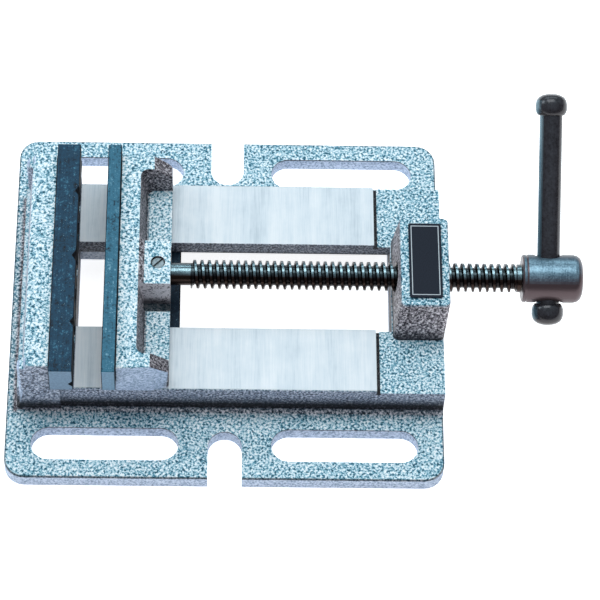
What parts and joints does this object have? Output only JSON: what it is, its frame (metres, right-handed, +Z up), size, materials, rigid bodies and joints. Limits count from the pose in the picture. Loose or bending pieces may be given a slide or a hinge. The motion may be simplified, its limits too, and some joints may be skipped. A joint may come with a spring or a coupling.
{
  "type": "drill press vise",
  "caption": "Low cast machine vise with slotted base flange, two grooved jaw plates, a moving jaw on ground rails, a trapezoidal lead screw and a sliding handle bar.",
  "frame": {"origin": "on the base's underside, on the centre plane, below the fixed jaw", "axes": "+X along the lead screw from the fixed jaw towards the handle, +Y to the back, +Z up"},
  "size_m": [0.2377, 0.165, 0.079],
  "materials": {
    "hammer_paint": "hammered silver-blue enamel over cast iron, ground bright on top of the rails",
    "blued_steel": "dark blue-grey ground steel",
    "keeper_steel": "dark blue-black plate",
    "thread_steel": "black oxide, oiled thread",
    "hub_steel": "dark grey turned steel",
    "handle_black": "black oxide, polished",
    "black_oxide": "black oxide",
    "zinc": "bright zinc",
    "label_dark": "plain dark label, no wording"
  },
  "bodies": {
    "base": {"base_casting": "hammer_paint", "fixed_jaw_plate": "blued_steel", "fixed_jaw_screw_back": "black_oxide", "fixed_jaw_screw_front": "black_oxide", "label_plate": "label_dark"},
    "carriage": {"moving_jaw": "hammer_paint", "moving_jaw_plate": "blued_steel", "moving_jaw_screw_back": "black_oxide", "moving_jaw_screw_front": "black_oxide", "keeper_plate": "keeper_steel", "keeper_screw_back": "black_oxide", "keeper_screw_front": "black_oxide", "keeper_washer_back": "zinc", "keeper_washer_front": "zinc", "jaw_set_screw": "zinc"},
    "screw": {"lead_screw": "thread_steel", "screw_hub": "hub_steel", "hub_pin": "zinc"},
    "handle": {"handle_bar": "handle_black", "handle_cap_upper": "handle_black", "handle_cap_lower": "handle_black"}
  },
  "joints": [
    {"name": "jaw_slide", "type": "slide", "parent": "base", "child": "carriage", "axis": [1, 0, 0], "range_m": [-0.0113, 0.0875]},
    {"name": "screw_turn", "type": "hinge", "parent": "carriage", "child": "screw", "pos_m": [0.06, 0, 0.0315], "axis": [1, 0, 0], "range_deg": [-1355.9, 10499.9]},
    {"name": "handle_slide", "type": "slide", "parent": "screw", "child": "handle", "axis": [0, 0.8192, 0.5736], "range_m": [-0.0574, 0]}
  ],
  "couplings": [
    {"joint": "jaw_slide", "follows": "screw_turn", "m_per_rad": 0.00047746}
  ]
}
